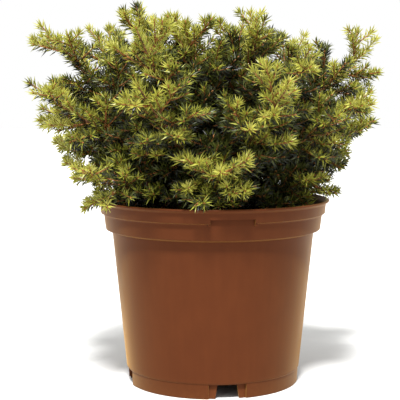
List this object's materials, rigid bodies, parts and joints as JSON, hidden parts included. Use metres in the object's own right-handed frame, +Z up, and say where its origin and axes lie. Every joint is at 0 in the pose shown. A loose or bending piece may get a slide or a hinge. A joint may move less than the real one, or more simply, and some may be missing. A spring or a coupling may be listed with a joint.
{
  "type": "potted dwarf norway spruce",
  "caption": "Nest-shaped dwarf Norway spruce with layered sprays of short needles, growing in a round tapered plastic nursery pot with a banded collar and a notched foot.",
  "frame": {"origin": "on the pot's axis, on the surface that the pot stands on; the crown's box is centred on it to within 3 mm", "axes": "+Z up the pot and the trunk, -Y towards the viewer of the picture, +X to that viewer's right"},
  "size_m": [0.2894, 0.2789, 0.3115],
  "materials": {
    "pot_plastic": "satin",
    "compost": "matte",
    "bark": "matte",
    "needles": "matte"
  },
  "bodies": {
    "root": {"pot": "pot_plastic", "compost": "compost", "trunk": "bark", "bough_skirt_1": "bark", "foliage_skirt_1": "needles", "bough_skirt_2": "bark", "foliage_skirt_2": "needles", "bough_skirt_3": "bark", "foliage_skirt_3": "needles", "bough_skirt_4": "bark", "foliage_skirt_4": "needles", "bough_skirt_5": "bark", "foliage_skirt_5": "needles", "bough_skirt_6": "bark", "foliage_skirt_6": "needles", "bough_skirt_7": "bark", "foliage_skirt_7": "needles", "bough_skirt_8": "bark", "foliage_skirt_8": "needles", "bough_middle_1": "bark", "foliage_middle_1": "needles", "bough_middle_2": "bark", "foliage_middle_2": "needles", "bough_middle_3": "bark", "foliage_middle_3": "needles", "bough_middle_4": "bark", "foliage_middle_4": "needles", "bough_middle_5": "bark", "foliage_middle_5": "needles", "bough_middle_6": "bark", "foliage_middle_6": "needles", "bough_middle_7": "bark", "foliage_middle_7": "needles", "bough_middle_8": "bark", "foliage_middle_8": "needles", "bough_shoulder_1": "bark", "foliage_shoulder_1": "needles", "bough_shoulder_2": "bark", "foliage_shoulder_2": "needles", "bough_shoulder_3": "bark", "foliage_shoulder_3": "needles", "bough_shoulder_4": "bark", "foliage_shoulder_4": "needles", "bough_shoulder_5": "bark", "foliage_shoulder_5": "needles", "bough_shoulder_6": "bark", "foliage_shoulder_6": "needles", "bough_top_1": "bark", "foliage_top_1": "needles", "bough_top_2": "bark", "foliage_top_2": "needles", "bough_top_3": "bark", "foliage_top_3": "needles", "bough_top_4": "bark", "foliage_top_4": "needles"}
  },
  "joints": []
}
